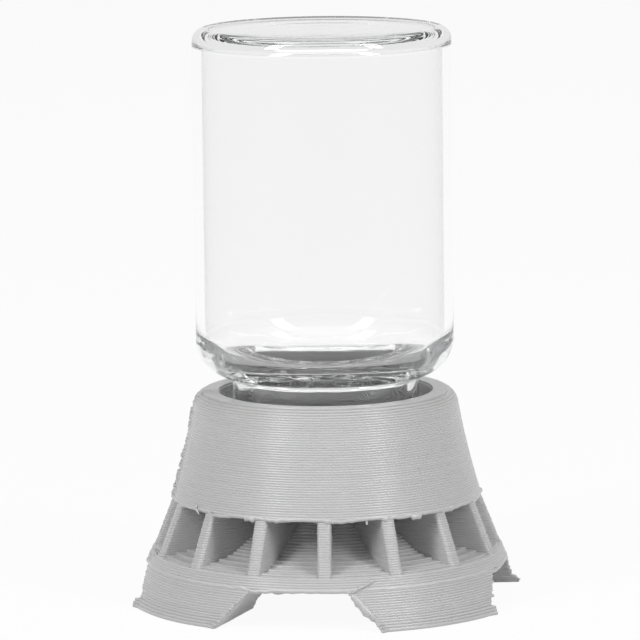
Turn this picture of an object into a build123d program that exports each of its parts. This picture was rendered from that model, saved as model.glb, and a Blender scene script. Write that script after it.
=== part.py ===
"""A small gravity drinker: a glass vial standing mouth-down in the collar of a printed base.

Sizes are in millimetres.  +Z is up, and the origin is the centre of the circle that the feet stand on.
The base is one print.  It is stored as the simple blocks that its shape is made of: a collar, a ring of
upright fins, a dish with a hill in its middle, and four feet.  The blocks meet face to face.
"""

import os

from build123d import *

# ---------------------------------------------------------------- driving sizes: the printed base
FOOT_HEIGHT = 3.3  # underside of the dish above the floor
DISH_RIM_HEIGHT = 1.0  # outer face of the dish, from its underside to its upper edge
WINDOW_HEIGHT = 4.6  # from the dish's upper edge to the collar's underside
COLLAR_HEIGHT = 9.0  # from the collar's underside to its top

FOOT_RADIUS = 16.7  # where the flank of the base would meet the floor
FIRST_LAYER_HEIGHT = 0.3  # the print's squashed first layer
FIRST_LAYER_SPREAD = 0.35  # how far that layer stands out past the flank

ARCH_TOP_WIDTH = 8.5  # each arch is the mouth of a channel that runs in under the dish
ARCH_FLOOR_WIDTH = 15.0
CHANNEL_NARROWING = 6.2  # how much narrower a channel is at the middle of the base than at its mouth
FOOT_INNER_FLAT = 8.6  # from the middle of the base to the flat inner end of each foot

COLLAR_FOOT_WALL = 4.1  # the collar's thickness around its bore, at its underside
COLLAR_TOP_WALL = 2.05  # the same at its top
COLLAR_HOLLOW = 0.17  # how far its flank dips inwards of a straight cone
COLLAR_TOP_ROUND = 1.4
BORE_CHAMFER = 0.15  # lead-in at the top of the collar's bore

DISH_SHELF_WIDTH = 3.8  # nearly flat outer floor, from the upper edge in to the foot of the hill
DISH_SHELF_RISE = 0.8
HILL_TOP_RADIUS = 5.5
HILL_TOP_GAP = 0.6  # from the hill's flat top up to the vial's mouth

FIN_COUNT = 15
FIN_THICKNESS = 1.2  # three lines of plastic side by side
FIN_TURN = 8.4  # angle from the middle of an arch to the nearest fin
FIN_SETBACK = 0.1  # how far the fins' outer edges stand in from the flank
FIN_SEAT = 1.4  # how far each fin reaches in under the vial's neck

# ---------------------------------------------------------------- driving sizes: the glass vial
VIAL_RADIUS = 11.0
VIAL_HEIGHT = 40.0
VIAL_WALL = 0.8
VIAL_END_THICKNESS = 0.9
VIAL_END_ROUND = 1.1  # outer corner of the closed end
VIAL_END_INNER_ROUND = 0.7  # inner corner of the closed end
VIAL_END_HOLLOW = 0.4  # the closed end is a little hollow in its middle

NECK_RADIUS = 7.95
NECK_LENGTH = 10.3  # from the mouth to the turn into the shoulder
NECK_TURN = 0.45  # small hollow radius between neck and shoulder
SHOULDER_HEIGHT = 3.1  # the rounded shoulder, from the neck to the straight wall
SHOULDER_THICKNESS = 1.7
MOUTH_RADIUS = 6.25
MOUTH_INNER_TURN = 1.2  # rounding inside, where the shoulder runs down into the neck
LIP_PROUD = 0.65  # the bead around the mouth stands out this far from the neck
LIP_LENGTH = 1.8
LIP_ROUND = 0.5

LIP_CLEARANCE = 0.5  # between the lip and the collar's bore, on each side

# ---------------------------------------------------------------- worked-out places: the base
LIP_RADIUS = NECK_RADIUS + LIP_PROUD
BORE_RADIUS = LIP_RADIUS + LIP_CLEARANCE
COLLAR_FOOT_RADIUS = BORE_RADIUS + COLLAR_FOOT_WALL
COLLAR_TOP_RADIUS = BORE_RADIUS + COLLAR_TOP_WALL
SHELF_EDGE_Z = FOOT_HEIGHT + DISH_RIM_HEIGHT  # upper edge of the dish
SEAT_Z = SHELF_EDGE_Z + WINDOW_HEIGHT  # the collar's underside, fin tops and the vial's mouth
COLLAR_TOP_Z = SEAT_Z + COLLAR_HEIGHT


def flank(z):
    """Outside radius of the base at height z: a straight cone from the floor to the collar."""
    return FOOT_RADIUS + (COLLAR_FOOT_RADIUS - FOOT_RADIUS) * z / SEAT_Z


HILL_FOOT_RADIUS = flank(SHELF_EDGE_Z) - DISH_SHELF_WIDTH
HILL_FOOT_Z = SHELF_EDGE_Z + DISH_SHELF_RISE
HILL_TOP_Z = SEAT_Z - HILL_TOP_GAP
FIN_INNER_RADIUS = NECK_RADIUS - FIN_SEAT
FIN_PITCH = 360 / FIN_COUNT
ARCH_AZIMUTH = -90  # the arch that the fins are counted from faces -Y

# ---------------------------------------------------------------- worked-out places: the vial
VIAL_TOP_Z = SEAT_Z + VIAL_HEIGHT
NECK_END_Z = SEAT_Z + NECK_LENGTH
SHOULDER_END_Z = NECK_END_Z + SHOULDER_HEIGHT
CAVITY_RADIUS = VIAL_RADIUS - VIAL_WALL
CAVITY_TOP_Z = VIAL_TOP_Z - VIAL_END_THICKNESS
CAVITY_FLOOR_Z = NECK_END_Z + SHOULDER_THICKNESS
CAVITY_WALL_Z = SHOULDER_END_Z + SHOULDER_THICKNESS - VIAL_WALL

os.makedirs("parts", exist_ok=True)

# ---------------------------------------------------------------- dish
# The plate of the base: a flat underside and a nearly flat outer floor that drains outwards.
with BuildPart() as dish:
    with BuildSketch(Plane.XZ):
        with BuildLine():
            Polyline(
                (0, FOOT_HEIGHT),
                (flank(FOOT_HEIGHT), FOOT_HEIGHT),
                (flank(SHELF_EDGE_Z), SHELF_EDGE_Z),
                (HILL_FOOT_RADIUS, HILL_FOOT_Z),
                (0, HILL_FOOT_Z),
                close=True,
            )
        make_face()
    revolve(axis=Axis.Z)
dish.part.label = "dish"
export_step(dish.part, "parts/dish.step")

# ---------------------------------------------------------------- hill
# A cone with its top cut flat, close under the vial's mouth, so that little water stands there.
with BuildPart() as hill:
    with BuildSketch(Plane.XZ):
        with BuildLine():
            Polyline(
                (0, HILL_FOOT_Z),
                (HILL_FOOT_RADIUS, HILL_FOOT_Z),
                (HILL_TOP_RADIUS, HILL_TOP_Z),
                (0, HILL_TOP_Z),
                close=True,
            )
        make_face()
    revolve(axis=Axis.Z)
hill.part.label = "hill"
export_step(hill.part, "parts/hill.step")

# ---------------------------------------------------------------- collar
# A thick ring with a hollowed conical flank, a rounded top and a straight bore for the vial's neck.
with BuildPart() as collar:
    with BuildSketch(Plane.XZ) as ring_section:
        with BuildLine():
            SagittaArc((COLLAR_TOP_RADIUS, COLLAR_TOP_Z), (COLLAR_FOOT_RADIUS, SEAT_Z), -COLLAR_HOLLOW)
            Polyline(
                (COLLAR_FOOT_RADIUS, SEAT_Z),
                (BORE_RADIUS, SEAT_Z),
                (BORE_RADIUS, COLLAR_TOP_Z),
                (COLLAR_TOP_RADIUS, COLLAR_TOP_Z),
            )
        make_face()
        outer_corner = ring_section.vertices().sort_by_distance((COLLAR_TOP_RADIUS, COLLAR_TOP_Z, 0))[0]
        fillet(outer_corner, min(COLLAR_TOP_ROUND, 0.7 * COLLAR_TOP_WALL))
        bore_corner = ring_section.vertices().sort_by_distance((BORE_RADIUS, COLLAR_TOP_Z, 0))[0]
        chamfer(bore_corner, min(BORE_CHAMFER, 0.2 * COLLAR_TOP_WALL))
    revolve(axis=Axis.Z)
collar.part.label = "collar"
export_step(collar.part, "parts/collar.step")

# ---------------------------------------------------------------- fins
# Upright radial walls.  Each stands on the dish and the hill, carries the collar, and its inner end is
# a ledge that the vial's mouth rests on.
for number in range(FIN_COUNT):
    azimuth = ARCH_AZIMUTH + FIN_TURN + number * FIN_PITCH
    along_fin = Plane(origin=(0, 0, 0), x_dir=Vector(1, 0, 0).rotate(Axis.Z, azimuth),
                      z_dir=Vector(0, -1, 0).rotate(Axis.Z, azimuth))
    with BuildPart() as fin:
        with BuildSketch(along_fin):
            with BuildLine():
                Polyline(
                    (FIN_INNER_RADIUS, HILL_FOOT_Z),
                    (FIN_INNER_RADIUS, SEAT_Z),
                    (COLLAR_FOOT_RADIUS - FIN_SETBACK, SEAT_Z),
                    (flank(SHELF_EDGE_Z) - FIN_SETBACK, SHELF_EDGE_Z),
                    (HILL_FOOT_RADIUS, SHELF_EDGE_Z),
                    close=True,
                )
            make_face()
        extrude(amount=FIN_THICKNESS / 2, both=True)
        add(dish.part, mode=Mode.SUBTRACT)
        add(hill.part, mode=Mode.SUBTRACT)
    name = f"fin_{number + 1:02d}"
    fin.part.label = name
    export_step(fin.part, f"parts/{name}.step")

# ---------------------------------------------------------------- feet
# A skirt under the dish, hollow in its middle.  Four channels run in from its rim, each a little
# narrower further in, and cut it into four feet.
with BuildPart() as skirt:
    with BuildSketch(Plane.XZ):
        with BuildLine():
            Polyline(
                (0, 0),
                (flank(0) + FIRST_LAYER_SPREAD, 0),
                (flank(FIRST_LAYER_HEIGHT) + FIRST_LAYER_SPREAD, FIRST_LAYER_HEIGHT),
                (flank(FIRST_LAYER_HEIGHT), FIRST_LAYER_HEIGHT),
                (flank(FOOT_HEIGHT), FOOT_HEIGHT),
                (0, FOOT_HEIGHT),
                close=True,
            )
        make_face()
    revolve(axis=Axis.Z)
    for azimuth in (0, 90, 180, 270):
        for distance in (0, 1.2 * FOOT_RADIUS):
            change = CHANNEL_NARROWING * (distance / FOOT_RADIUS - 1)
            floor_half = (ARCH_FLOOR_WIDTH + change) / 2
            top_half = (ARCH_TOP_WIDTH + change) / 2
            across_channel = Plane(origin=Vector(distance, 0, 0).rotate(Axis.Z, azimuth),
                                   x_dir=Vector(0, 1, 0).rotate(Axis.Z, azimuth),
                                   z_dir=Vector(1, 0, 0).rotate(Axis.Z, azimuth))
            with BuildSketch(across_channel):
                with BuildLine():
                    Polyline(
                        (-floor_half, 0),
                        (floor_half, 0),
                        (top_half, FOOT_HEIGHT),
                        (-top_half, FOOT_HEIGHT),
                        close=True,
                    )
                make_face()
        loft(ruled=True, mode=Mode.SUBTRACT)
    with Locations((0, 0, FOOT_HEIGHT / 2)):
        Box(2 * FOOT_INNER_FLAT, 2 * FOOT_INNER_FLAT, FOOT_HEIGHT, rotation=(0, 0, 45), mode=Mode.SUBTRACT)

FOOT_SIDES = {
    "foot_front_right": (1, -1),
    "foot_back_right": (1, 1),
    "foot_back_left": (-1, 1),
    "foot_front_left": (-1, -1),
}
for name, (side_x, side_y) in FOOT_SIDES.items():
    with BuildPart() as foot:
        with Locations((side_x * FOOT_RADIUS, side_y * FOOT_RADIUS, FOOT_HEIGHT / 2)):
            Box(2 * FOOT_RADIUS, 2 * FOOT_RADIUS, FOOT_HEIGHT)
        add(skirt.part, mode=Mode.INTERSECT)
    foot.part.label = name
    export_step(foot.part, f"parts/{name}.step")

# ---------------------------------------------------------------- glass vial
# One piece of glass: a straight wall, a closed end with a shallow hollow, a rounded shoulder, and a
# neck with a bead around its mouth.
with BuildPart() as glass_vial:
    with BuildSketch(Plane.XZ) as wall:
        with BuildLine():
            TangentArc((0, VIAL_TOP_Z - VIAL_END_HOLLOW), (VIAL_RADIUS - VIAL_END_ROUND, VIAL_TOP_Z),
                       tangent=(1, 0))
            TangentArc((VIAL_RADIUS - VIAL_END_ROUND, VIAL_TOP_Z), (VIAL_RADIUS, VIAL_TOP_Z - VIAL_END_ROUND),
                       tangent=(1, 0))
            Line((VIAL_RADIUS, VIAL_TOP_Z - VIAL_END_ROUND), (VIAL_RADIUS, SHOULDER_END_Z))
            TangentArc((VIAL_RADIUS, SHOULDER_END_Z), (NECK_RADIUS, NECK_END_Z), tangent=(0, -1))
            Polyline(
                (NECK_RADIUS, NECK_END_Z),
                (NECK_RADIUS, SEAT_Z + LIP_LENGTH),
                (LIP_RADIUS, SEAT_Z + LIP_LENGTH),
                (LIP_RADIUS, SEAT_Z),
                (MOUTH_RADIUS, SEAT_Z),
                (MOUTH_RADIUS, CAVITY_FLOOR_Z),
            )
            TangentArc((CAVITY_RADIUS, CAVITY_WALL_Z), (MOUTH_RADIUS, CAVITY_FLOOR_Z), tangent=(0, -1))
            Line((CAVITY_RADIUS, CAVITY_WALL_Z), (CAVITY_RADIUS, CAVITY_TOP_Z - VIAL_END_INNER_ROUND))
            TangentArc((CAVITY_RADIUS - VIAL_END_INNER_ROUND, CAVITY_TOP_Z),
                       (CAVITY_RADIUS, CAVITY_TOP_Z - VIAL_END_INNER_ROUND), tangent=(1, 0))
            TangentArc((0, CAVITY_TOP_Z - VIAL_END_HOLLOW),
                       (CAVITY_RADIUS - VIAL_END_INNER_ROUND, CAVITY_TOP_Z), tangent=(1, 0))
            Line((0, CAVITY_TOP_Z - VIAL_END_HOLLOW), (0, VIAL_TOP_Z - VIAL_END_HOLLOW))
        make_face()
        neck_turn = wall.vertices().sort_by_distance((NECK_RADIUS, NECK_END_Z, 0))[0]
        fillet(neck_turn, NECK_TURN)
        mouth_turn = wall.vertices().sort_by_distance((MOUTH_RADIUS, CAVITY_FLOOR_Z, 0))[0]
        fillet(mouth_turn, MOUTH_INNER_TURN)
        lip_corners = [
            wall.vertices().sort_by_distance((LIP_RADIUS, height, 0))[0]
            for height in (SEAT_Z, SEAT_Z + LIP_LENGTH)
        ]
        fillet(lip_corners, min(LIP_ROUND, 0.3 * LIP_LENGTH, 0.8 * LIP_PROUD))
    revolve(axis=Axis.Z)
glass_vial.part.label = "glass_vial"
export_step(glass_vial.part, "parts/glass_vial.step")
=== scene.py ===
# %% [markdown]
# # A small gravity drinker
#
# The object is a clear glass vial that stands mouth-down in a light grey printed base. Water runs out
# of the neck into a shallow dish until it covers the mouth, and small animals drink between the fins.
# The frame that we load holds every piece at its real size and place, so this lesson is about looks:
# the lines that a filament printer leaves, the threads that sag where it printed over air, and glass.

import math

import bpy
import numpy as np
from mathutils import Matrix, Vector, noise


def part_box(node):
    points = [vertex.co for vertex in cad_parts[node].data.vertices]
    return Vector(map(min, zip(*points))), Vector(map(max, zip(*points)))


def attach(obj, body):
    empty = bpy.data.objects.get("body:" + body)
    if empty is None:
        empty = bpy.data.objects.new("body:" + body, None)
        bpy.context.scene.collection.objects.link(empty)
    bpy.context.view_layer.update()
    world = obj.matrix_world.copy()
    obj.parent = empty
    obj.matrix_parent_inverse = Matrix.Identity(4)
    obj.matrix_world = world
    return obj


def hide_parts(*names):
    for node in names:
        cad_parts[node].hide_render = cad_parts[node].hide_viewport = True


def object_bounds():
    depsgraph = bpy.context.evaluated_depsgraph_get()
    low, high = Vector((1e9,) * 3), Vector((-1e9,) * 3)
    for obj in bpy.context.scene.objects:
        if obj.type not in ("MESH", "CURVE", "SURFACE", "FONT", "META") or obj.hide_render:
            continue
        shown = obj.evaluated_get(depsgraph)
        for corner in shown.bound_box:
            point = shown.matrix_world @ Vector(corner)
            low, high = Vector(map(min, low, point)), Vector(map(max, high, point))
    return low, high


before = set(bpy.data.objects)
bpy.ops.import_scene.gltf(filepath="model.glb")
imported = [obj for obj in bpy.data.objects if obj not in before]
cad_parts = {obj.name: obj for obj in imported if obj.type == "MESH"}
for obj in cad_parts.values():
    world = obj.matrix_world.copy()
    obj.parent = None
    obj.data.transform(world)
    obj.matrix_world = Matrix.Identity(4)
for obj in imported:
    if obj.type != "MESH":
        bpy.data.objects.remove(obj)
cad_low, cad_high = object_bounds()
MM = 0.001
print("The frame is", [round(side / MM, 1) for side in cad_high - cad_low], "mm")

# %% [markdown]
# ## Reading sizes from the frame
#
# Most pieces here are turned, so their whole shape is one section. We could type the section's sizes
# again, but then two files would have to agree. Instead we read the section from the frame: the CAD
# mesh has a row of edges in the half plane x > 0, y = 0, and following them gives the outline.

# %% The outline of a turned CAD piece
NEAR = 1e-6


def section_edges(node):
    """The edges of a turned CAD piece that lie in the half plane y = 0, as pairs of (radius, height)."""
    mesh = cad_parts[node].data
    points = np.array([corner.co for corner in mesh.vertices])
    in_plane = (np.abs(points[:, 1]) < NEAR) & (points[:, 0] > -NEAR)
    edges = set()
    for polygon in mesh.polygons:
        for a, b in polygon.edge_keys:
            if in_plane[a] and in_plane[b]:
                ends = [(round(float(points[v, 0]), 7), round(float(points[v, 2]), 7)) for v in (a, b)]
                edges.add(tuple(sorted(ends)))
    return [pair for pair in edges if pair[0] != pair[1]]


def width_at(edges, height):
    """The least and greatest radius at which a horizontal line at this height crosses the outline."""
    crossings = []
    for (r_a, z_a), (r_b, z_b) in edges:
        if min(z_a, z_b) <= height <= max(z_a, z_b) and abs(z_b - z_a) > NEAR:
            crossings.append(r_a + (r_b - r_a) * (height - z_a) / (z_b - z_a))
    return min(crossings), max(crossings)


def reach(node):
    """The greatest distance of a CAD piece from the vertical axis."""
    return max(math.hypot(corner.co.x, corner.co.y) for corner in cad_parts[node].data.vertices)


collar_edges = section_edges("collar")
dish_edges = section_edges("dish")
hill_edges = section_edges("hill")
vial_edges = section_edges("glass_vial")
print("Section edges:", len(collar_edges), len(dish_edges), len(hill_edges), len(vial_edges))

# %% [markdown]
# ## The printer's layers
#
# A filament printer lays beads of plastic 0.2 mm high, one layer on another. Each bead is round at its
# side, so a wall is a stack of small ridges with a groove between each two. On a slope every layer ends
# a little further in than the one below, which makes stairs. We could fake all this with a bump map,
# but the outline of a bump-mapped wall stays smooth. Here the ridges are real rows of the mesh.

# %% Layer heights and the shape of one bead
LAYER = 0.2 * MM
FIRST_LAYER = 0.3 * MM
LINE_WIDTH = 0.42 * MM  # the width of one line of plastic, seen from above
GROOVE = 0.034 * MM  # how deep the groove between two layers is
BEAD = ((0.05, 0.85), (0.27, 0.12), (0.73, 0.12), (0.95, 0.85))  # share of height, share of groove


def layer_levels(bottom, top):
    """Heights of the joints between layers from bottom to top, both included."""
    count = max(1, round((top - bottom) / LAYER))
    return np.linspace(bottom, top, count + 1)


def tread(start, end, height):
    """Points along a flat step, with a shallow groove between its concentric lines."""
    count = int(abs(end - start) / (LINE_WIDTH / 4))
    points = []
    for number in range(1, count):
        radius = start + (end - start) * number / count
        dip = 0.35 * GROOVE * (1 - math.cos(2 * math.pi * (radius - start) / LINE_WIDTH))
        points.append((radius, height - dip))
    return points


def layered_side(levels, radius_at, outwards=1):
    """Rows up a layered wall: a bead for each layer, and a tread wherever a layer ends further in."""
    rows = []
    for number, (low, high) in enumerate(zip(levels[:-1], levels[1:])):
        radius = radius_at((low + high) / 2)
        if outwards > 0 and rows and rows[-1][0] - radius > LINE_WIDTH / 2:
            rows += tread(rows[-1][0], radius, low)
        rows += [(radius - outwards * dip * GROOVE, low + share * (high - low)) for share, dip in BEAD]
    return rows


def turned_grid(rows, segments):
    """Turns a list of (radius, height) rows round the vertical axis into a grid of points."""
    rows = np.array(rows)
    angles = np.linspace(0, 2 * math.pi, segments, endpoint=False)
    grid = np.empty((len(rows), segments, 3))
    grid[:, :, 0] = rows[:, :1] * np.cos(angles)
    grid[:, :, 1] = rows[:, :1] * np.sin(angles)
    grid[:, :, 2] = rows[:, 1:]
    return grid


def added(name, data):
    """A new object with this mesh, lamp or camera, linked to the scene."""
    thing = bpy.data.objects.new(name, data)
    bpy.context.scene.collection.objects.link(thing)
    return thing


def mesh_from_grid(name, grid, closed_rows=False, capped=False):
    """A smooth-shaded object from a grid whose columns go round. Rows run anticlockwise in section."""
    rows, columns, _ = grid.shape
    points = grid.reshape(-1, 3).tolist()
    faces = []
    for row in range(rows if closed_rows else rows - 1):
        here, above = row * columns, ((row + 1) % rows) * columns
        for column in range(columns):
            following = (column + 1) % columns
            faces.append((here + column, here + following, above + following, above + column))
    if capped:
        points += [grid[0].mean(axis=0).tolist(), grid[-1].mean(axis=0).tolist()]
        first, last = len(points) - 2, len(points) - 1
        top = (rows - 1) * columns
        for column in range(columns):
            following = (column + 1) % columns
            faces.append((first, following, column))
            faces.append((last, top + column, top + following))
    mesh = bpy.data.meshes.new(name)
    mesh.from_pydata(points, [], faces)
    mesh.shade_smooth()
    mesh.update()
    return added(name, mesh)


print("One bead has", len(BEAD), "rows; a groove is", round(GROOVE / MM, 3), "mm deep")

# %% [markdown]
# ## Building node trees in writing
#
# The layers repeat, the fins repeat, and the sagging threads follow a ring, so Geometry Nodes make
# them. A tree made by a script is easier to read if each node takes one line. This small class adds a
# node, fills its inputs with values or other nodes' sockets, and hands back the output socket.

# %% A helper for Geometry Nodes


def add_node(node_tree, kind, values=(), output=0, **settings):
    """Adds a node. Values maps an input's name or number to a value or to a socket."""
    made = node_tree.nodes.new(kind)
    for setting, value in settings.items():
        setattr(made, setting, value)
    for key, value in dict(values).items():
        if isinstance(value, bpy.types.NodeSocket):
            node_tree.links.new(value, made.inputs[key])
        else:
            made.inputs[key].default_value = value
    return made.outputs[output]


class Tree:
    """A Geometry Nodes tree that is built in writing order, one node to a call."""

    def __init__(self, name, inputs):
        self.group = bpy.data.node_groups.new(name, "GeometryNodeTree")
        self.group.is_modifier = True
        self.group.interface.new_socket("Geometry", in_out="OUTPUT", socket_type="NodeSocketGeometry")
        self.group.interface.new_socket("Geometry", in_out="INPUT", socket_type="NodeSocketGeometry")
        for label, kind in inputs:
            self.group.interface.new_socket(label, in_out="INPUT", socket_type="NodeSocket" + kind)
        self.start = self.group.nodes.new("NodeGroupInput")

    def given(self, label):
        """The socket of one of the tree's own inputs."""
        return self.start.outputs[label]

    def node(self, kind, values=(), output=0, **settings):
        """Adds a node to this tree."""
        return add_node(self.group, kind, values, output, **settings)

    def math(self, operation, *values):
        """A Math node with these values."""
        return self.node("ShaderNodeMath", dict(enumerate(values)), operation=operation)

    def finish(self, geometry, material):
        """Ends the tree the way the export needs it: real geometry, with its material set."""
        real = self.node("GeometryNodeRealizeInstances", {0: geometry})
        dressed = self.node("GeometryNodeSetMaterial", {"Geometry": real, "Material": material})
        end = self.group.nodes.new("NodeGroupOutput")
        self.group.links.new(dressed, end.inputs[0])


def made_real(piece, tree, values):
    """Runs a tree on a piece with these input values, and leaves the piece as a plain mesh."""
    modifier = piece.modifiers.new(tree.group.name, "NODES")
    modifier.node_group = tree.group
    for item in tree.group.interface.items_tree:
        if item.in_out == "INPUT" and item.name in values:
            modifier[item.identifier] = values[item.name]
    graph = bpy.context.evaluated_depsgraph_get()
    plain = bpy.data.meshes.new_from_object(piece.evaluated_get(graph))
    piece.modifiers.remove(modifier)
    piece.data = plain
    plain.name = piece.name
    print(piece.name, "has", sum(len(face.vertices) - 2 for face in plain.polygons), "triangles")


# %% [markdown]
# ## Uneven beads
#
# No two layers of a print are quite alike. The nozzle wavers, the flow changes, and where each layer
# starts it leaves a small blob, so the blobs line up in a rough seam. This tree moves each point along
# its normal by a noise that is smooth along a bead and unrelated from one layer to the next, which is
# why the noise reads the number of the layer in place of the height.

# %% The tree that makes beads uneven
LAYER_STEP = 7.31  # how far apart two layers read the noise, far enough to be unrelated


def uneven_beads_tree():
    """Moves the points of a layered mesh a little in or out, layer by layer, and adds the seam."""
    tree = Tree("uneven_beads", [("Wobble", "Float"), ("Wave Length", "Float"), ("Seam Angle", "Float"),
                                 ("Seam Size", "Float"), ("Seam Width", "Float"), ("Seed", "Float"),
                                 ("Material", "Material")])
    place = tree.node("GeometryNodeInputPosition")
    parts = tree.node("ShaderNodeSeparateXYZ", {0: place}).node
    along_x, along_y, height = parts.outputs
    lifted = tree.math("SUBTRACT", height, FIRST_LAYER)
    layer = tree.math("FLOOR", tree.math("DIVIDE", lifted, LAYER))
    spread = tree.math("MULTIPLY", layer, LAYER_STEP)
    wave_x = tree.math("DIVIDE", along_x, tree.given("Wave Length"))
    wave_y = tree.math("DIVIDE", along_y, tree.given("Wave Length"))
    sample = tree.node("ShaderNodeCombineXYZ", {0: wave_x, 1: wave_y, 2: spread})
    waves = tree.node("ShaderNodeTexNoise", {"Vector": sample, "W": tree.given("Seed"), "Scale": 1.0,
                                             "Detail": 1.0, "Roughness": 0.5}, noise_dimensions="4D")
    wobble = tree.math("MULTIPLY", tree.math("SUBTRACT", waves, 0.5), tree.given("Wobble"))

    angle = tree.math("ARCTAN2", along_y, along_x)
    turned = tree.math("SUBTRACT", angle, tree.given("Seam Angle"))
    from_seam = tree.math("WRAP", turned, math.pi, -math.pi)
    radius = tree.math("POWER", tree.math("ADD", tree.math("MULTIPLY", along_x, along_x),
                                          tree.math("MULTIPLY", along_y, along_y)), 0.5)
    strayed = tree.node("FunctionNodeRandomValue", {"Min": -0.5, "Max": 0.5, "ID": layer, "Seed": 3},
                        output=1, data_type="FLOAT")
    distance = tree.math("ADD", tree.math("DIVIDE", tree.math("MULTIPLY", from_seam, radius),
                                          tree.given("Seam Width")), strayed)
    bell = tree.math("EXPONENT", tree.math("MULTIPLY", tree.math("MULTIPLY", distance, distance), -1.0))
    share = tree.node("FunctionNodeRandomValue", {"Min": 0.15, "Max": 1.0, "ID": layer, "Seed": 5},
                      output=1, data_type="FLOAT")
    blob = tree.math("MULTIPLY", tree.math("MULTIPLY", bell, share), tree.given("Seam Size"))

    amount = tree.math("ADD", wobble, blob)
    normal = tree.node("GeometryNodeInputNormal")
    offset = tree.node("ShaderNodeVectorMath", {0: normal, "Scale": amount}, operation="SCALE")
    moved = tree.node("GeometryNodeSetPosition", {"Geometry": tree.given("Geometry"), "Offset": offset})
    tree.finish(moved, tree.given("Material"))
    return tree


uneven_beads = uneven_beads_tree()
print("Tree", uneven_beads.group.name, "has", len(uneven_beads.group.nodes), "nodes")

# %% [markdown]
# ## Light grey filament
#
# The base is plain grey plastic with a satin face. A single grey would look like clay, so the colour
# changes slightly from layer to layer and in soft patches. Painted shade darkens the groove between
# two layers, where little light gets in. The gloss varies in fine streaks, under a thin shiny coat. All
# of it reads Object coordinates, which stay with the piece as it moves. Flat tops have no grooves, so
# the direction of the surface fades the painted shade out there.

# %% The printed plastic's material


def shader(material, kind, values=(), output=0, **settings):
    """Adds a shader node to a material."""
    return add_node(material.node_tree, kind, values, output, **settings)


def shader_math(material, operation, *values):
    """A Math node in a material, with these values."""
    return shader(material, "ShaderNodeMath", dict(enumerate(values)), operation=operation)


def empty_material(name):
    """A material with an empty node tree."""
    material = bpy.data.materials.new(name)
    material.use_nodes = True
    material.node_tree.nodes.clear()
    return material


def dress(material, surface, volume=None):
    """Gives a material its surface, and its volume if it has one."""
    end = material.node_tree.nodes.new("ShaderNodeOutputMaterial")
    material.node_tree.links.new(surface, end.inputs["Surface"])
    if volume is not None:
        material.node_tree.links.new(volume, end.inputs["Volume"])


def grey(level):
    """An opaque grey of this brightness."""
    return (level, level, level, 1.0)


DARKEST_TONE, LIGHTEST_TONE = grey(0.50), grey(0.56)
PATCHES_PER_METRE = 260.0
PATCH_SHARE = 0.65  # how much of the tone comes from patches, and not from layers
# Painted shade in the grooves between layers: how strong it is, and the grey it darkens towards.
GROOVE_SHADE = 0.16  # how much darker painted shade makes the bottom of a groove
PAINTED_GROOVE_SHADE = grey(0.12)
GRAIN = (400.0, 400.0, 4000.0)  # noise cells per metre in x, y and height: streaks along the beads
GLOSSIEST, DULLEST = 0.27, 0.34  # roughness


def printed_plastic():
    """Light grey filament: tone by layer and by patch, painted shade in grooves, and a varying gloss."""
    material = empty_material("printed_plastic")
    place = shader(material, "ShaderNodeTexCoord", output=3)
    height = shader(material, "ShaderNodeSeparateXYZ", {0: place}, output=2)
    lifted = shader_math(material, "SUBTRACT", height, FIRST_LAYER)
    layer = shader_math(material, "DIVIDE", lifted, LAYER)
    number = shader_math(material, "FLOOR", layer)
    layer_tone = shader(material, "ShaderNodeTexWhiteNoise", {"W": number}, noise_dimensions="1D")
    patches = shader(material, "ShaderNodeTexNoise", {"Vector": place, "Scale": PATCHES_PER_METRE,
                                                         "Detail": 3.0})
    both = shader(material, "ShaderNodeMix", {0: PATCH_SHARE, 2: layer_tone, 3: patches})
    tone = shader(material, "ShaderNodeValToRGB", {0: both})
    ramp = tone.node.color_ramp
    ramp.elements[0].color = DARKEST_TONE
    ramp.elements[1].color = LIGHTEST_TONE

    # Painted shade: darker towards the groove between two layers, on upright faces only.
    share = shader_math(material, "FRACT", layer)
    from_middle = shader_math(material, "SUBTRACT", share, 0.5)
    doubled = shader_math(material, "MULTIPLY", from_middle, 2.0)
    groove = shader_math(material, "POWER", doubled, 4.0)
    facing_up = shader(material, "ShaderNodeSeparateXYZ", {
        0: shader(material, "ShaderNodeTexCoord", output=1)}, output=2)
    flat = shader_math(material, "ABSOLUTE", facing_up)
    upright = shader(material, "ShaderNodeMapRange", {0: flat, 1: 0.4, 2: 0.8, 3: 1.0, 4: 0.0})
    groove_shade_mask = shader_math(material, "MULTIPLY", groove, upright)
    shade = shader_math(material, "MULTIPLY", groove_shade_mask, GROOVE_SHADE)
    colour = shader(material, "ShaderNodeMix", {0: shade, 6: tone, 7: PAINTED_GROOVE_SHADE}, output=2,
                    data_type="RGBA")

    streaks = shader(material, "ShaderNodeMapping", {0: place, "Scale": GRAIN})
    grain = shader(material, "ShaderNodeTexNoise", {"Vector": streaks, "Scale": 1.0, "Detail": 1.0})
    gloss = shader(material, "ShaderNodeMapRange", {0: grain, 3: GLOSSIEST, 4: DULLEST})
    surface = shader(material, "ShaderNodeBsdfPrincipled", {"Base Color": colour, "Roughness": gloss,
                                                            "Coat Weight": 0.3, "Coat Roughness": 0.22,
                                                            "IOR": 1.46})
    dress(material, surface)
    return material


plastic = printed_plastic()
print("Material", plastic.name, "has", len(plastic.node_tree.nodes), "nodes")

# %% [markdown]
# ## The collar
#
# The collar is a thick ring that holds the vial's neck. Its flank is slightly hollow, its top edge is
# round, and both end in stairs of single layers. One closed section goes up the outside, across the
# top, down the bore and back underneath. The seam of the print lies to the left, seen from the front.

# %% Make the collar
SEAM_ANGLE = math.radians(-166)
SEAM_WIDTH = 0.45 * MM
ROUND_SEGMENTS = 240


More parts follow.
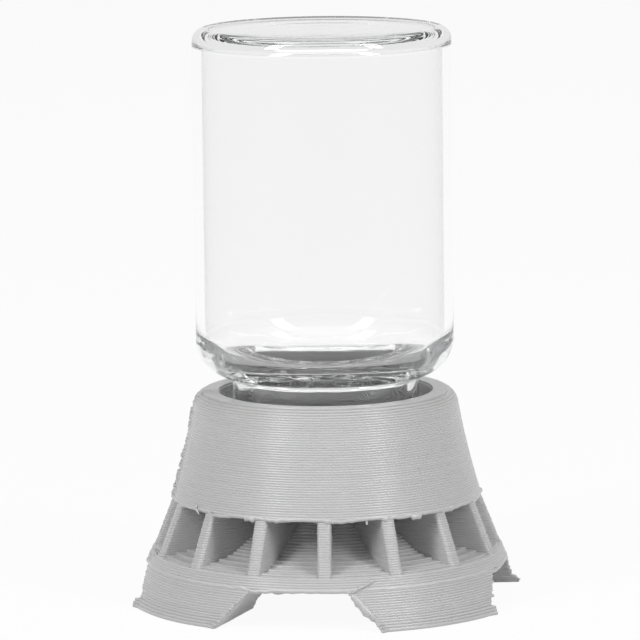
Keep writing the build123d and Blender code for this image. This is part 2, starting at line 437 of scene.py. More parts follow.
def printed(piece, node_names, wobble, wave_length, seed, seam=0.0):
    """Finishes a printed piece: uneven beads, plastic, and its place in the frame. Lengths are in mm."""
    made_real(piece, uneven_beads, {"Wobble": wobble * MM, "Wave Length": wave_length * MM,
                                    "Seam Angle": SEAM_ANGLE, "Seam Size": seam * MM,
                                    "Seam Width": SEAM_WIDTH, "Seed": seed, "Material": plastic})
    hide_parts(*node_names)
    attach(piece, "base")


def collar_section():
    """Rows of the collar's closed section: outside, top, bore and underside."""
    bottom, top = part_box("collar")[0].z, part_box("collar")[1].z
    levels = layer_levels(bottom, top)
    outside = layered_side(levels, lambda height: width_at(collar_edges, height)[1])
    bore = layered_side(levels, lambda height: width_at(collar_edges, height)[0], outwards=-1)
    across = tread(outside[-1][0], bore[-1][0], top)
    under = [(radius, 2 * bottom - height) for radius, height in tread(bore[0][0], outside[0][0], bottom)]
    return outside + across + bore[::-1] + under


collar = mesh_from_grid("printed_collar", turned_grid(collar_section(), ROUND_SEGMENTS), closed_rows=True)
printed(collar, ["collar"], wobble=0.014, seam=0.26, seed=1.0, wave_length=6.0)

# %% [markdown]
# ## The dish and its hill
#
# Below the collar lies a nearly flat floor that rises in the middle to a cone with its top cut off, so
# the water stands only around the edge. It is one surface on the print, so here it is one piece. Such
# a gentle slope shows its layers as wide stairs, and each stair shows the lines it was filled with.

# %% Make the dish
dish_low, dish_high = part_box("dish")
hill_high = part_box("hill")[1]
fin_heights = [corner.co.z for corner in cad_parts["fin_01"].data.vertices]
window_bottom = min(fin_heights)


def dish_radius(height):
    """Outer radius of the dish or the hill at this height."""
    if height > dish_high.z:
        return width_at(hill_edges, height)[1]
    return width_at(dish_edges, height)[1]


def dish_section():
    """Rows from the middle of the underside, round the rim and up the stairs to the hill's flat top."""
    outside = layered_side(layer_levels(dish_low.z, hill_high.z), dish_radius)
    across = tread(outside[-1][0], LINE_WIDTH, hill_high.z)
    under = [(radius, 2 * dish_low.z - height)
             for radius, height in tread(LINE_WIDTH, outside[0][0], dish_low.z)[::2]]
    return under + outside + across


dish = mesh_from_grid("printed_dish", turned_grid(dish_section(), ROUND_SEGMENTS), capped=True)
printed(dish, ["dish", "hill"], wobble=0.025, seam=0.26, seed=2.0, wave_length=4.0)

# %% [markdown]
# ## The ring of fins
#
# Upright fins join the dish to the collar. Each is three lines of plastic thick, with ends rounded by
# the nozzle. We make one fin, and a tree sets a copy of it at every place round the axis. The copies
# become real geometry first and uneven afterwards, so no two fins come out the same.

# %% One fin from its outlines
SIDE_POINTS = 10
CORNER_POINTS = 6
CORNER_RADIUS = 0.34 * MM
LAYER_STRAY = 0.015 * MM  # how far a layer's outer end strays, as a standard deviation
MOST_LAYERS = 200


def fin_sizes():
    """The fin's azimuth, thickness, inner end, outer end at its foot and at its top, and top height."""
    points = np.array([corner.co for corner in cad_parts["fin_01"].data.vertices])
    middle = points.mean(axis=0)
    azimuth = math.atan2(middle[1], middle[0])
    along = points[:, 0] * math.cos(azimuth) + points[:, 1] * math.sin(azimuth)
    across = points[:, 1] * math.cos(azimuth) - points[:, 0] * math.sin(azimuth)
    top = points[:, 2] > points[:, 2].max() - NEAR
    return azimuth, 2 * across.max(), along.min(), along.max(), along[top].max(), points[:, 2].max()


fin_azimuth, fin_thickness, fin_inner, fin_outer_low, fin_outer_high, seat_height = fin_sizes()
fin_names = sorted(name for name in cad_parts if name.startswith("fin_"))


def rounded_box_outline(x_low, x_high, half_width, radius):
    """Points round a rectangle with round corners, anticlockwise from its lower right corner."""
    corners = ((x_high - radius, radius - half_width, -90), (x_high - radius, half_width - radius, 0),
               (x_low + radius, half_width - radius, 90), (x_low + radius, radius - half_width, 180))
    outline = []
    for number, (x, y, start) in enumerate(corners):
        for turn in np.radians(np.linspace(start, start + 90, CORNER_POINTS)):
            outline.append((x + radius * math.cos(turn), y + radius * math.sin(turn)))
        if number in (1, 3):
            x_to = corners[(number + 1) % 4][0]
            y_side = outline[-1][1]
            for share in np.linspace(0, 1, SIDE_POINTS + 2)[1:-1]:
                outline.append((x + (x_to - x) * share, y_side))
    return outline


def stacked_outlines(levels, outline_at):
    """Outlines stacked up a wall. outline_at takes a layer's number, its middle, and its groove's depth."""
    grid = []
    for number, (low, high) in enumerate(zip(levels[:-1], levels[1:])):
        for share, dip in BEAD:
            outline = outline_at(number, (low + high) / 2, dip * GROOVE)
            grid.append([(x, y, low + share * (high - low)) for x, y in outline])
    return np.array(grid)


def fin_grid():
    """One fin, lying along +X, from just inside the dish up to the collar's underside."""
    stray = np.random.default_rng(11).normal(0.0, LAYER_STRAY, MOST_LAYERS)

    def outline_at(number, height, drawn_in):
        share = (height - window_bottom) / (seat_height - window_bottom)
        outer = fin_outer_low + (fin_outer_high - fin_outer_low) * share + stray[number] - drawn_in
        return rounded_box_outline(fin_inner + drawn_in, outer, fin_thickness / 2 - drawn_in, CORNER_RADIUS)

    sunk = window_bottom - LAYER
    return stacked_outlines(layer_levels(sunk, seat_height), outline_at)


# %% Copies round the axis


def fin_ring_tree():
    """Sets copies of a piece at equal angles round the vertical axis."""
    tree = Tree("fin_ring", [("Count", "Int"), ("First Angle", "Float"), ("Material", "Material")])
    places = tree.node("GeometryNodeMeshLine", {"Count": tree.given("Count"), "Offset": (0.0, 0.0, 0.0)})
    step = tree.math("DIVIDE", 2 * math.pi, tree.given("Count"))
    index = tree.node("GeometryNodeInputIndex")
    angle = tree.math("ADD", tree.math("MULTIPLY", index, step), tree.given("First Angle"))
    turn = tree.node("ShaderNodeCombineXYZ", {2: angle})
    copies = tree.node("GeometryNodeInstanceOnPoints", {"Points": places, "Rotation": turn,
                                                        "Instance": tree.given("Geometry")})
    tree.finish(copies, tree.given("Material"))
    return tree


fins = mesh_from_grid("printed_fins", fin_grid(), capped=True)
made_real(fins, fin_ring_tree(), {"Count": len(fin_names), "First Angle": fin_azimuth, "Material": plastic})
printed(fins, fin_names, wobble=0.035, seed=3.0, wave_length=1.3)

# %% [markdown]
# ## The four feet
#
# Four channels run in under the dish and leave four feet. The channels' sides lean and close in on each
# other, so each layer of a foot is a little smaller than the one below. The first layer was pressed
# onto the printer's bed and spread. One outline for each layer, stacked, gives all of this.

# %% Corners of a foot
ARC_POINTS = 100
SIDE_OF_FOOT_POINTS = 48
INNER_END_POINTS = 16
MOST_FOOT_LAYERS = 40
FOOT_STRAY = 0.012 * MM
SPREAD_SHARES = (1.0, 0.85, 0.6, 0.15)  # of the first layer's spread, for each of the lowest layers
SIDE_SPREAD = 0.5  # a foot's sides spread half as far as its flank
BLOB_GAMMA = (1.2, 0.05 * MM)  # shape and scale of the sizes of the blobs at the corners
LEAST_BLOB = -0.03 * MM  # below zero, a corner is drawn in
FIRST_BLOB = 0.25 * MM  # added at the corners of the three lowest layers
BLOB_WIDTH = 0.45 * MM
BLOB_ORIGIN = 0.8  # blobs swell away from a point this share of the way out to the corner
FOOT_NODES = ("foot_back_right", "foot_back_left", "foot_front_left", "foot_front_right")  # anticlockwise
foot_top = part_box("foot_back_right")[1].z
foot_points = np.array([corner.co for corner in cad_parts["foot_back_right"].data.vertices])


def foot_level(height):
    """The foot's CAD corners at one height, as x and y, and their distances from the vertical axis."""
    level = foot_points[np.abs(foot_points[:, 2] - height) < NEAR, :2]
    return level, np.hypot(level[:, 0], level[:, 1])


def side_of_channel(height):
    """The inner and the outer end of the foot's side along x, at a height where the foot has corners."""
    level, radii = foot_level(height)
    level, radii = level[level[:, 1] < level[:, 0]], radii[level[:, 1] < level[:, 0]]
    rim = level[radii > radii.max() - 0.01 * MM]
    return level[np.argmin(level.sum(axis=1))], rim[np.argmin(rim[:, 1])]


inner_floor = side_of_channel(0.0)[0]
inner_top, outer_top = side_of_channel(foot_top)
side_direction = (outer_top - inner_top) / np.linalg.norm(outer_top - inner_top)
first_radii = foot_level(FIRST_LAYER)[1]
first_spread = first_radii.max() - first_radii.min()
radius_top = foot_level(foot_top)[1].max()
print("A foot's first layer is spread by", round(first_spread / MM, 2), "mm")

# %% [markdown]
# The outline goes out along one channel, round the flank, in along the other channel, and across the
# inner end. Moving these lines outwards spreads a layer, with the sides moving half as far as the rest.
# A negative offset draws the layer in.

# %% Make the feet


def foot_outline(height, offset, blob):
    """The foot's outline at a height, where x and y are positive. Blob swells its two outer corners."""
    share = height / foot_top
    inner = inner_floor + (inner_top - inner_floor) * share
    lean = (radius_top - first_radii.min()) / (foot_top - FIRST_LAYER)
    flank = first_radii.min() + lean * (height - FIRST_LAYER)
    towards_channel = np.array([side_direction[1], -side_direction[0]])
    start = inner + towards_channel * SIDE_SPREAD * offset
    to_inner_end = inner.sum() - offset * math.sqrt(2) - start.sum()
    start = start + side_direction * to_inner_end / side_direction.sum()
    along = start @ side_direction
    length = math.sqrt(along ** 2 - start @ start + (flank + offset) ** 2) - along
    end = start + side_direction * length
    side = start + side_direction * np.linspace(0, length, SIDE_OF_FOOT_POINTS, endpoint=False)[:, None]
    end_angle = math.atan2(end[1], end[0])
    turns = np.linspace(end_angle, math.pi / 2 - end_angle, ARC_POINTS, endpoint=False)
    arc = (flank + offset) * np.stack([np.cos(turns), np.sin(turns)], axis=1)
    steps = np.linspace(length, 0, SIDE_OF_FOOT_POINTS, endpoint=False)[:, None]
    back = (start + side_direction * steps)[:, ::-1]
    across = np.linspace(start[::-1], start, INNER_END_POINTS, endpoint=False)
    outline = np.concatenate([side, arc, back, across])
    for corner, size in zip((end, end[::-1]), blob):
        outwards = outline - BLOB_ORIGIN * corner
        outwards /= np.linalg.norm(outwards, axis=1)[:, None]
        near = np.exp(-((outline - corner) ** 2).sum(axis=1) / BLOB_WIDTH ** 2)
        outline = outline + outwards * (near * size)[:, None]
    return (np.roll(outline, 1, axis=0) + outline + np.roll(outline, -1, axis=0)) / 3


def foot_grid(seed):
    """One foot from the floor to the dish, with spread first layers and a small blob at each corner."""
    chance = np.random.default_rng(seed)
    stray = chance.normal(0.0, FOOT_STRAY, MOST_FOOT_LAYERS)
    blobs = chance.gamma(*BLOB_GAMMA, (MOST_FOOT_LAYERS, 2)) + LEAST_BLOB
    blobs[:3] += FIRST_BLOB
    levels = np.concatenate([[0.0], layer_levels(FIRST_LAYER, foot_top)])
    spread = np.zeros(MOST_FOOT_LAYERS)
    spread[:len(SPREAD_SHARES)] = first_spread * np.array(SPREAD_SHARES)

    def outline_at(number, height, drawn_in):
        return foot_outline(height, spread[number] + stray[number] - drawn_in, blobs[number])

    return stacked_outlines(levels, outline_at)


for number, node in enumerate(FOOT_NODES):
    foot = mesh_from_grid("printed_" + node, foot_grid(20 + number), capped=True)
    foot.data.transform(Matrix.Rotation(number * math.pi / 2, 4, "Z"))
    printed(foot, [node], wobble=0.04, seed=4.0 + number, wave_length=3.0)

# %% [markdown]
# ## Threads that sagged
#
# Over each window the printer had to lay the collar's first lines in the air, from one fin to the next,
# and some of them sagged. The same happened over the channels between the feet. A tree makes a few
# rings of thread, side by side, and lets each one hang between its supports by a different amount.

# %% The tree of sagging threads
RING_POINTS = 480
THREAD_SIDES = 7
SPAN_STEP = 37.0  # more than there are rings, so that every thread has its own number
RING_STEP = 5.3  # how far apart two rings read the noise
LUMP_LENGTH = 0.9 * MM
LEAST_SAG = 0.2  # of the most that a thread can sag
SAG_POWER = 1.6  # above 1, so that few threads sag far
LEAST_ROUGHNESS = 0.4  # at a support, as a share of the roughness in mid-span


def sagging_threads_tree():
    """Rings of thread, side by side, that hang between evenly spaced supports."""
    tree = Tree("sagging_threads", [("Rings", "Int"), ("Outer Radius", "Float"), ("Spacing", "Float"),
                                    ("Height", "Float"), ("Thread Radius", "Float"), ("Spans", "Int"),
                                    ("First Angle", "Float"), ("Support Share", "Float"), ("Sag", "Float"),
                                    ("Roughness", "Float"), ("Seed", "Int"), ("Material", "Material")])
    ring = tree.node("GeometryNodeCurvePrimitiveCircle", {"Resolution": RING_POINTS, "Radius": 1.0})
    copies = tree.node("GeometryNodeDuplicateElements", {"Geometry": ring, "Amount": tree.given("Rings")},
                       domain="SPLINE")
    number = copies.node.outputs["Duplicate Index"]
    radius = tree.math("SUBTRACT", tree.given("Outer Radius"),
                       tree.math("MULTIPLY", number, tree.given("Spacing")))
    parts = tree.node("ShaderNodeSeparateXYZ", {0: tree.node("GeometryNodeInputPosition")}).node
    angle = tree.math("SUBTRACT", tree.math("ARCTAN2", parts.outputs[1], parts.outputs[0]),
                      tree.given("First Angle"))
    spans = tree.math("DIVIDE", tree.math("MULTIPLY", tree.math("WRAP", angle, 2 * math.pi, 0.0),
                                          tree.given("Spans")), 2 * math.pi)
    span = tree.math("FLOOR", spans)
    along = tree.math("FRACT", spans)
    margin = tree.math("MULTIPLY", tree.given("Support Share"), 0.5)
    free = tree.math("SUBTRACT", 1.0, tree.given("Support Share"))
    share = tree.node("ShaderNodeMath", {0: tree.math("DIVIDE", tree.math("SUBTRACT", along, margin), free)},
                      operation="ADD", use_clamp=True)
    hang = tree.math("MULTIPLY", tree.math("MULTIPLY", share, tree.math("SUBTRACT", 1.0, share)), 4.0)
    thread_number = tree.math("ADD", tree.math("MULTIPLY", span, SPAN_STEP), number)
    chance = tree.node("FunctionNodeRandomValue", {"Min": 0.0, "Max": 1.0, "ID": thread_number,
                                                   "Seed": tree.given("Seed")}, output=1, data_type="FLOAT")
    inwards = tree.math("DIVIDE", tree.math("ADD", number, 1.0), tree.given("Rings"))
    freedom = tree.math("ADD", tree.math("MULTIPLY", inwards, 0.5), 0.5)
    most = tree.math("MULTIPLY", tree.given("Sag"), freedom)
    drawn = tree.math("MULTIPLY", tree.math("POWER", chance, SAG_POWER), 1 - LEAST_SAG)
    fall = tree.math("MULTIPLY", tree.math("ADD", drawn, LEAST_SAG), most)
    sample = tree.node("ShaderNodeVectorMath", {0: tree.node("GeometryNodeInputPosition"),
                                                "Scale": tree.math("DIVIDE", radius, LUMP_LENGTH)},
                       operation="SCALE")
    lumps = tree.node("ShaderNodeTexNoise", {"Vector": sample, "W": tree.math("MULTIPLY", number, RING_STEP),
                                             "Scale": 1.0, "Detail": 2.0}, noise_dimensions="4D")
    rough = tree.math("MULTIPLY", tree.math("SUBTRACT", lumps, 0.5), tree.given("Roughness"))
    freely = tree.math("ADD", tree.math("MULTIPLY", hang, 1 - LEAST_ROUGHNESS), LEAST_ROUGHNESS)
    rough = tree.math("MULTIPLY", rough, freely)
    height = tree.math("ADD", rough, tree.math("SUBTRACT", tree.given("Height"),
                                               tree.math("MULTIPLY", hang, fall)))
    place = tree.node("ShaderNodeCombineXYZ", {0: tree.math("MULTIPLY", parts.outputs[0], radius),
                                               1: tree.math("MULTIPLY", parts.outputs[1], radius), 2: height})
    hung = tree.node("GeometryNodeSetPosition", {"Geometry": copies, "Position": place})
    round_thread = tree.node("GeometryNodeCurvePrimitiveCircle", {"Resolution": THREAD_SIDES,
                                                                  "Radius": tree.given("Thread Radius")})
    tubes = tree.node("GeometryNodeCurveToMesh", {"Curve": hung, "Profile Curve": round_thread})
    tree.finish(tubes, tree.given("Material"))
    return tree


sagging_threads = sagging_threads_tree()
THREAD_RADIUS = 0.2 * MM


def threads(name, values):
    """Makes one set of sagging threads and lets it ride with the base."""
    empty = added(name, bpy.data.meshes.new(name))
    made_real(empty, sagging_threads, {"Thread Radius": THREAD_RADIUS, "Spacing": LINE_WIDTH,
                                       "Material": plastic, **values})
    empty.data.shade_smooth()
    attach(empty, "base")


# %% Threads over the windows and over the channels
collar_foot_radius = width_at(collar_edges, seat_height + LAYER / 2)[1]
window_pitch = 2 * math.pi / len(fin_names)
threads("window_threads", {
    "Rings": 8, "Outer Radius": collar_foot_radius - 0.7 * THREAD_RADIUS, "Height": seat_height,
    "Spans": len(fin_names), "First Angle": fin_azimuth,
    "Support Share": fin_thickness / (collar_foot_radius * window_pitch),
    "Sag": 0.42 * MM, "Roughness": 0.6 * MM, "Seed": 4,
})
arch_half_angle = math.atan2(outer_top[1], outer_top[0])
threads("channel_threads", {
    "Rings": 6, "Outer Radius": radius_top - 0.8 * THREAD_RADIUS, "Height": foot_top,
    "Spans": 4, "First Angle": math.pi / 4, "Support Share": 1 - 4 * arch_half_angle / math.pi,
    "Sag": 0.5 * MM, "Roughness": 0.9 * MM, "Seed": 8,
})

# %% [markdown]
# ## Strings, drips and lumps
#
# Small faults tell most clearly that a thing was printed: a string where the nozzle crossed over, a
# drip at a window, lumps along an overhanging edge, a sliver of the first layer at a foot's tip. Each
# is a path with a thickness at every point. A tree turns the paths into plastic.

# %% The tree of strings
STRING_SIDES = 12


def strings_tree():
    """Turns a mesh's edges into threads, as thick as its attribute "thickness" says."""
    tree = Tree("strings", [("Sides", "Int"), ("Material", "Material")])
    paths = tree.node("GeometryNodeMeshToCurve", {"Mesh": tree.given("Geometry")})
    thickness = tree.node("GeometryNodeInputNamedAttribute", {"Name": "thickness"}, data_type="FLOAT")
    profile = tree.node("GeometryNodeCurvePrimitiveCircle", {
        "Resolution": tree.given("Sides"), "Radius": 1.0})
    tubes = tree.node("GeometryNodeCurveToMesh", {"Curve": paths, "Profile Curve": profile,
                                                  "Scale": thickness, "Fill Caps": True})
    tree.finish(tubes, tree.given("Material"))
    return tree


# %% The faults: azimuth from the front (degrees), then height, distance from the flank and thickness (mm)
FAULTS = (
    # strings and drips
    ((16.8, 3.2, 0.1, 0.07), (19.0, 3.5, 0.16, 0.07), (21.8, 3.8, 0.14, 0.06), (24.6, 4.15, 0.04, 0.03)),
    ((-47.2, 9.3, 0.05, 0.06), (-46.4, 9.0, 0.2, 0.07), (-45.0, 8.8, 0.2, 0.07), (-44.2, 8.6, 0.1, 0.04)),
    ((24.2, 9.0, -0.3, 0.14), (24.1, 8.7, -0.25, 0.13), (24.1, 8.4, -0.25, 0.07)),
    ((205.0, 8.9, -0.1, 0.14), (205.3, 8.4, -0.15, 0.07)),
    # slivers of the first layer at the feet's tips
    ((122.0, 0.25, -0.2, 0.2), (118.0, 0.22, 0.1, 0.16), (115.5, 0.24, 0.35, 0.12), (113.5, 0.3, 0.6, 0.05)),
    ((-59.5, 0.3, 0.0, 0.16), (-61.5, 0.3, 0.15, 0.2), (-62.6, 0.5, 0.1, 0.1)),
    # lumps along the edges of the front feet
    ((16.8, 3.05, -0.2, 0.12), (17.5, 2.8, -0.2, 0.32), (18.2, 2.55, -0.2, 0.28), (18.9, 2.3, -0.22, 0.42),
     (19.7, 2.05, -0.25, 0.3), (20.4, 1.8, -0.25, 0.36), (21.2, 1.55, -0.25, 0.44), (22.1, 1.3, -0.25, 0.28),
     (23.1, 1.05, -0.25, 0.32), (24.2, 0.8, -0.3, 0.12)),
    ((-17.0, 2.9, -0.35, 0.1), (-18.2, 2.6, -0.3, 0.24), (-19.2, 2.3, -0.3, 0.16), (-20.6, 1.9, -0.3, 0.26),
     (-22.0, 1.5, -0.3, 0.2), (-23.4, 1.1, -0.3, 0.26), (-24.8, 0.7, -0.3, 0.12)),
    # lumps along the collar's lower edge
    ((-23.0, 8.95, -0.15, 0.1), (-21.6, 8.8, -0.12, 0.28), (-20.2, 8.82, -0.12, 0.2),
     (-18.8, 8.76, -0.12, 0.3), (-17.4, 8.9, -0.15, 0.1)),
    ((41.6, 8.8, -0.12, 0.1), (42.6, 8.72, -0.1, 0.28), (43.8, 8.7, -0.08, 0.22), (45.2, 8.74, -0.08, 0.3),
     (46.6, 8.82, -0.12, 0.1)),
    ((-11.0, 8.86, -0.15, 0.1), (-9.0, 8.78, -0.12, 0.22), (-7.0, 8.84, -0.15, 0.1)),
    ((7.5, 8.86, -0.15, 0.1), (9.5, 8.78, -0.12, 0.24), (12.0, 8.86, -0.15, 0.1)),
    ((29.5, 8.86, -0.15, 0.1), (31.0, 8.78, -0.12, 0.26), (33.0, 8.86, -0.15, 0.1)),
    ((-62.0, 8.9, -0.1, 0.1), (-60.0, 8.8, -0.1, 0.26), (-57.5, 8.84, -0.1, 0.22), (-55.0, 8.9, -0.1, 0.1)),
    ((60.0, 8.9, -0.1, 0.1), (62.0, 8.82, -0.1, 0.26), (64.5, 8.9, -0.1, 0.1)),
    ((100.0, 8.9, -0.1, 0.1), (102.5, 8.8, -0.1, 0.28), (105.0, 8.9, -0.1, 0.1)),
    ((-130.0, 8.9, -0.1, 0.1), (-127.5, 8.8, -0.1, 0.28), (-125.0, 8.9, -0.1, 0.1)),
    # blobs on the dish's rim
    ((-46.6, 3.63, -0.03, 0.05), (-46.1, 3.63, -0.03, 0.14), (-45.6, 3.63, -0.03, 0.05)),
    ((-41.3, 3.58, -0.03, 0.05), (-40.9, 3.58, -0.03, 0.14), (-40.5, 3.58, -0.03, 0.05)),
    ((-68.0, 4.2, -0.12, 0.1), (-70.0, 4.25, -0.08, 0.26), (-72.0, 4.3, -0.05, 0.2),
     (-74.0, 4.25, -0.05, 0.28), (-76.0, 4.15, -0.1, 0.1)),
)


def flank_place(azimuth, height, distance):
    """A place near the base's conical flank, in metres. Azimuth 0 is the front, 90 the right."""
    share = (height * MM - foot_top) / (seat_height - foot_top)
    radius = radius_top + (collar_foot_radius - radius_top) * share + distance * MM
    turn = math.radians(azimuth)
    return radius * math.sin(turn), -radius * math.cos(turn), height * MM


def strings_mesh():
    """All faults as chains of edges, each point with its thickness."""
    points, edges, thickness = [], [], []
    for fault in FAULTS:
        first = len(points)
        points += [flank_place(azimuth, height, distance) for azimuth, height, distance, _ in fault]
        thickness += [size * MM for _, _, _, size in fault]
        edges += [(number, number + 1) for number in range(first, len(points) - 1)]
    mesh = bpy.data.meshes.new("stray_strings")
    mesh.from_pydata(points, edges, [])
    mesh.attributes.new("thickness", "FLOAT", "POINT").data.foreach_set("value", thickness)
    return mesh


stray_strings = added("stray_strings", strings_mesh())
made_real(stray_strings, strings_tree(), {"Sides": STRING_SIDES, "Material": plastic})
stray_strings.data.shade_smooth()
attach(stray_strings, "base")

# %% [markdown]
# ## The glass vial
#
# Clear glass shows almost only its edges, so its inner wall matters as much as its outer one. The vial
# is one closed skin: up the outside, over the closed end, and down again inside. Its section comes
# from the frame. We cut the section's corners a few times to make its arcs finer, then add the slight
# ripples that rolled and moulded glass always has, which is what makes its reflections lively.

# %% Make the vial
VIAL_SEGMENTS = 180
LONGEST_EDGE = 2.2 * MM
CORNER_CUTS = 2
SMALLEST_ROW = 0.2 * MM  # rows nearer the axis than this are closed with one point
END_DEPTH, END_FADE = 2.0 * MM, 0.6 * MM  # rings lie within this of the closed end, and fade in over this
RING_RIPPLE = 0.006 * MM  # how high the rings are
RING_PITCH = 2.1 * MM
RINGS_RADIUS = 10 * MM
NECK_DEPTH, NECK_FADE = 12.0 * MM, 1.5 * MM  # the neck's part of the vial, and how the ripples fade out above
NECK_RIPPLE = 0.06 * MM
DENT_LENGTH = 1.5 * MM
SPIRAL_SHARE = 0.35  # the strength of a spiral wave, against the dents
SPIRAL_WAVES, SPIRAL_RISE = 9, 2100  # waves once round the neck, and radians for each metre of height


def chained(edges):
    """Puts a section's edges in order, from its end inside the cavity to its end on the outside."""
    following = {}
    for a, b in edges:
        following.setdefault(a, []).append(b)
        following.setdefault(b, []).append(a)
    ends = sorted((point for point in following if len(following[point]) == 1), key=lambda point: point[1])
    chain = [ends[0]]
    while True:
        onward = [point for point in following[chain[-1]] if point not in chain[-2:]]
        if not onward:
            return chain
        chain.append(onward[0])


def refined(chain):
    """Splits long edges, then cuts corners, so that arcs run smoothly."""
    points = [chain[0]]
    for a, b in zip(chain[:-1], chain[1:]):
        pieces = max(1, math.ceil(math.dist(a, b) / LONGEST_EDGE))
        points += [(a[0] + (b[0] - a[0]) * part / pieces, a[1] + (b[1] - a[1]) * part / pieces)
                   for part in range(1, pieces + 1)]
    points = np.array(points)
    for _ in range(CORNER_CUTS):
        near = 0.75 * points[:-1] + 0.25 * points[1:]
        far = 0.25 * points[:-1] + 0.75 * points[1:]
        points = np.concatenate([points[:1], np.stack([near, far], axis=1).reshape(-1, 2), points[-1:]])
    return points


def rippled(grid, low, high):
    """Adds rings to the closed end, and waves and small dents to the neck."""
    radius = np.hypot(grid[:, :, 0], grid[:, :, 1])
    angle = np.arctan2(grid[:, :, 1], grid[:, :, 0])
    height = grid[:, :, 2]
    at_end = np.clip((height - (high.z - END_DEPTH)) / END_FADE, 0, 1)
    rings = RING_RIPPLE * np.cos(2 * math.pi * radius / RING_PITCH) * np.clip(radius / (3 * MM), 0, 1)
    inner_rings = np.clip((RINGS_RADIUS - radius) / (1 * MM), 0, 1)
    low_down = np.clip((low.z + NECK_DEPTH - height) / NECK_FADE, 0, 1)
    dents = np.array([noise.noise(Vector(point) / DENT_LENGTH) for point in grid.reshape(-1, 3)])
    spiral = SPIRAL_SHARE * np.sin(SPIRAL_WAVES * angle - SPIRAL_RISE * height + 1.0)
    waves = dents.reshape(radius.shape) + spiral
    swell = 1 + NECK_RIPPLE * low_down * waves / np.maximum(radius, 1 * MM)
    rippled_grid = grid.copy()
    rippled_grid[:, :, 0] *= swell
    rippled_grid[:, :, 1] *= swell
    rippled_grid[:, :, 2] += at_end * rings * inner_rings
    return rippled_grid


vial_low, vial_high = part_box("glass_vial")
vial_rows = refined(chained(vial_edges))
vial_rows = vial_rows[vial_rows[:, 0] > SMALLEST_ROW]
mouth_row = int(np.argmin(vial_rows[:, 1] + (vial_rows[:, 0] - reach("glass_vial")) * 0.01))
vial = mesh_from_grid("vial_glass", rippled(turned_grid(vial_rows, VIAL_SEGMENTS), vial_low, vial_high),
                      capped=True)
print("The vial has", len(vial_rows), "rows; its mouth is row", mouth_row)

# %% [markdown]
# ## Clear glass
#
# The surface is a plain glass shader. Two things keep it from vanishing. A weak absorption inside the
# wall makes long paths through the glass a little grey, as iron in real glass does. And the straight
# inner wall has painted shade: a trace where it is seen face-on, so that the vial reads against the
# background, and much more where it is seen edge-on, a painted dark line along the inside of the wall.

# %% The glass
INNER_WALL = "inner_wall"  # 1 on the straight wall of the cavity, where the shade is painted, 0 elsewhere
WALL_ABOVE_MOUTH, WALL_BELOW_END = 14 * MM, 1.8 * MM  # where the straight inner wall starts and stops
FACE_SHADE_SHARE = 0.08  # the share of the edge's painted shade that the wall has where it is seen face-on
EDGE_SHADE_GREY = 0.12  # the grey of the painted dark line where the wall is seen edge-on
EDGE_SHARPNESS = 5.0
ABSORBED_COLOUR = (0.80, 0.82, 0.82, 1.0)
ABSORPTION = 20.0


def clear_glass():
    """Clear glass with painted shade on its inner wall, darkest where it is seen edge-on."""
    material = empty_material("clear_glass")
    # Painted shade: the inner wall greys a little where seen face-on and darkens to a painted line edge-on.
    facing = shader(material, "ShaderNodeLayerWeight", {"Blend": 0.5}, output=1)
    edge = shader_math(material, "POWER", facing, EDGE_SHARPNESS)
    strength = shader(material, "ShaderNodeMapRange", {0: edge, 3: FACE_SHADE_SHARE, 4: 1.0})
    inner = shader(material, "ShaderNodeAttribute", output=2, attribute_name=INNER_WALL)
    painted_shade_mask = shader_math(material, "MULTIPLY", strength, inner)
    painted_line_colour = shader(material, "ShaderNodeMix", {0: painted_shade_mask, 6: grey(1.0), 7: grey(EDGE_SHADE_GREY)},
                  output=2, data_type="RGBA")
    surface = shader(material, "ShaderNodeBsdfPrincipled", {"Roughness": 0.0, "IOR": 1.5, "Base Color": painted_line_colour,
                                                            "Transmission Weight": 1.0})
    body = shader(material, "ShaderNodeVolumeAbsorption", {"Color": ABSORBED_COLOUR, "Density": ABSORPTION})
    dress(material, surface, body)
    return material


wall_low, wall_high = vial_low.z + WALL_ABOVE_MOUTH, vial_high.z - WALL_BELOW_END
inner_wall = vial.data.attributes.new(INNER_WALL, "FLOAT", "FACE")
inner_wall.data.foreach_set("value", [
    float(polygon.index < mouth_row * VIAL_SEGMENTS and wall_low < polygon.center.z < wall_high)
    for polygon in vial.data.polygons])
vial.data.materials.append(clear_glass())
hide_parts("glass_vial")
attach(vial, "vial")

# %% [markdown]
# ## Floor, world and lamps
#
# The object stands on a plain white floor in even studio light. Rays that go straight to the camera, or
# pass through glass or off a glossy face, see a bright world, and the others get a much weaker light.
# The floor glows towards the camera in the same way, and keeps a share of real shading for the shadow.

# %% Floor and world
FLOOR_SIDE = 3.0
FLOOR_GLOW = 0.94  # the share of even glow; the rest shows the object's shadow
AMBIENT = 0.15  # the world's strength for all light that isn't seen directly


def seen_directly(tree):
    """A value of 1 for rays from the camera, through glass or off a glossy face, and 0 for the others."""
    kinds = add_node(tree, "ShaderNodeLightPath").node.outputs
    total = kinds["Is Camera Ray"]
    for kind in ("Is Glossy Ray", "Is Transmission Ray"):
        total = add_node(tree, "ShaderNodeMath", {0: total, 1: kinds[kind]}, operation="MAXIMUM")
    return total


def floor_material():
    """White floor: mostly an even glow where it is seen directly, and plain white for all other light."""
    material = empty_material("floor_white")
    shaded = shader(material, "ShaderNodeBsdfDiffuse", {"Color": grey(0.85)})
    glow = shader(material, "ShaderNodeEmission", {"Color": grey(1.0), "Strength": 1.0})
    share = shader_math(material, "MULTIPLY", seen_directly(material.node_tree), FLOOR_GLOW)
    dress(material, shader(material, "ShaderNodeMixShader", {0: share, 1: shaded, 2: glow}))
    return material


floor_mesh = bpy.data.meshes.new("floor")
half = FLOOR_SIDE / 2
floor_mesh.from_pydata([(-half, -half, 0), (half, -half, 0), (half, half, 0), (-half, half, 0)], [],
                       [(0, 1, 2, 3)])
floor = added("floor", floor_mesh)
floor.location.z = cad_low.z - 0.01 * MM
floor_mesh.materials.append(floor_material())

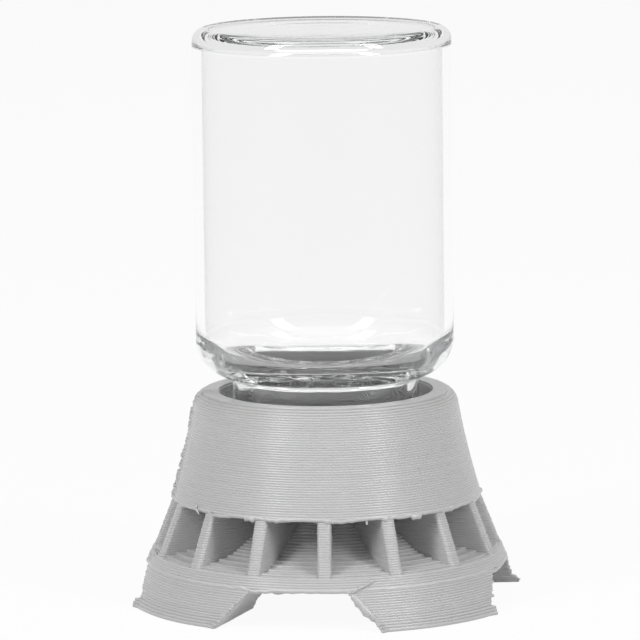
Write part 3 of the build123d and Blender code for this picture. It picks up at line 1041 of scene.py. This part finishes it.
world = bpy.data.worlds.new("studio")
bpy.context.scene.world = world
world.use_nodes = True
world.node_tree.nodes.clear()
strength = add_node(world.node_tree, "ShaderNodeMapRange", {
    "Value": seen_directly(world.node_tree), "To Min": AMBIENT, "To Max": 1.0})
sky = add_node(world.node_tree, "ShaderNodeBackground", {"Strength": strength})
world.node_tree.links.new(sky, world.node_tree.nodes.new("ShaderNodeOutputWorld").inputs["Surface"])

# %% Lamps


def direction(azimuth, elevation):
    """The direction from the object to a lamp or camera, in degrees: azimuth 0 is the front, 90 the right."""
    a, e = math.radians(azimuth), math.radians(elevation)
    return Vector((math.sin(a) * math.cos(e), -math.cos(a) * math.cos(e), math.sin(e)))


def softbox(name, azimuth, elevation, size, power):
    """A rectangular lamp that looks at the middle of the object."""
    lamp = bpy.data.lights.new(name, "AREA")
    lamp.shape = "RECTANGLE"
    lamp.size, lamp.size_y = size
    lamp.energy = power
    holder = added(name, lamp)
    away = direction(azimuth, elevation)
    holder.location = (cad_low + cad_high) / 2 + away * LAMP_DISTANCE
    holder.rotation_euler = away.to_track_quat("Z", "Y").to_euler()


CAMERA_AZIMUTH = 9.4
LAMP_DISTANCE = 0.5
LAMPS = (  # azimuth from the camera and elevation in degrees, size in metres, power in watts
    ("left_softbox", -46, 36, (0.11, 0.4), 1.3),
    ("right_softbox", 50, 36, (0.11, 0.4), 1.2),
    ("top_softbox", 0, 78, (0.4, 0.4), 0.7),
)
for name, azimuth, elevation, size, power in LAMPS:
    softbox(name, CAMERA_AZIMUTH + azimuth, elevation, size, power)

# %% [markdown]
# ## The camera
#
# The camera looks down on the object by about eight degrees. A long lens keeps the vial's sides nearly
# parallel. A small turn about the camera's own axis leans the object by two thirds of a degree.

# %% Camera
CAMERA_DISTANCE = 0.456
CAMERA_ELEVATION = 8.46
CAMERA_ROLL = -0.65
CAMERA_SHIFT = -0.00734  # the object stands a little right of the picture's middle
AIM_HEIGHT = 23.82 * MM
LENS_PER_DISTANCE = 300.9 / 0.456  # focal length for a 36 mm sensor, for each metre of distance

camera = added("camera", bpy.data.cameras.new("camera"))
away = direction(CAMERA_AZIMUTH, CAMERA_ELEVATION)
camera.location = Vector((0, 0, AIM_HEIGHT)) + away * CAMERA_DISTANCE
facing = away.to_track_quat("Z", "Y").to_matrix() @ Matrix.Rotation(math.radians(CAMERA_ROLL), 3, "Z")
camera.rotation_euler = facing.to_euler()
camera.data.lens = LENS_PER_DISTANCE * CAMERA_DISTANCE
camera.data.sensor_width = 36.0
camera.data.shift_x = CAMERA_SHIFT
camera.data.clip_start = 0.01
bpy.context.scene.camera = camera
bpy.context.scene.view_settings.view_transform = "Standard"

# %% [markdown]
# Light meets many faces on its way through the thick ends of the vial. We let it bend and bounce often
# enough to come out again, because a path that is cut short would leave a black patch in the glass.

# %% Long light paths through the glass
MOST_BOUNCES = 32
paths = bpy.context.scene.cycles
paths.max_bounces = paths.transmission_bounces = paths.glossy_bounces = MOST_BOUNCES
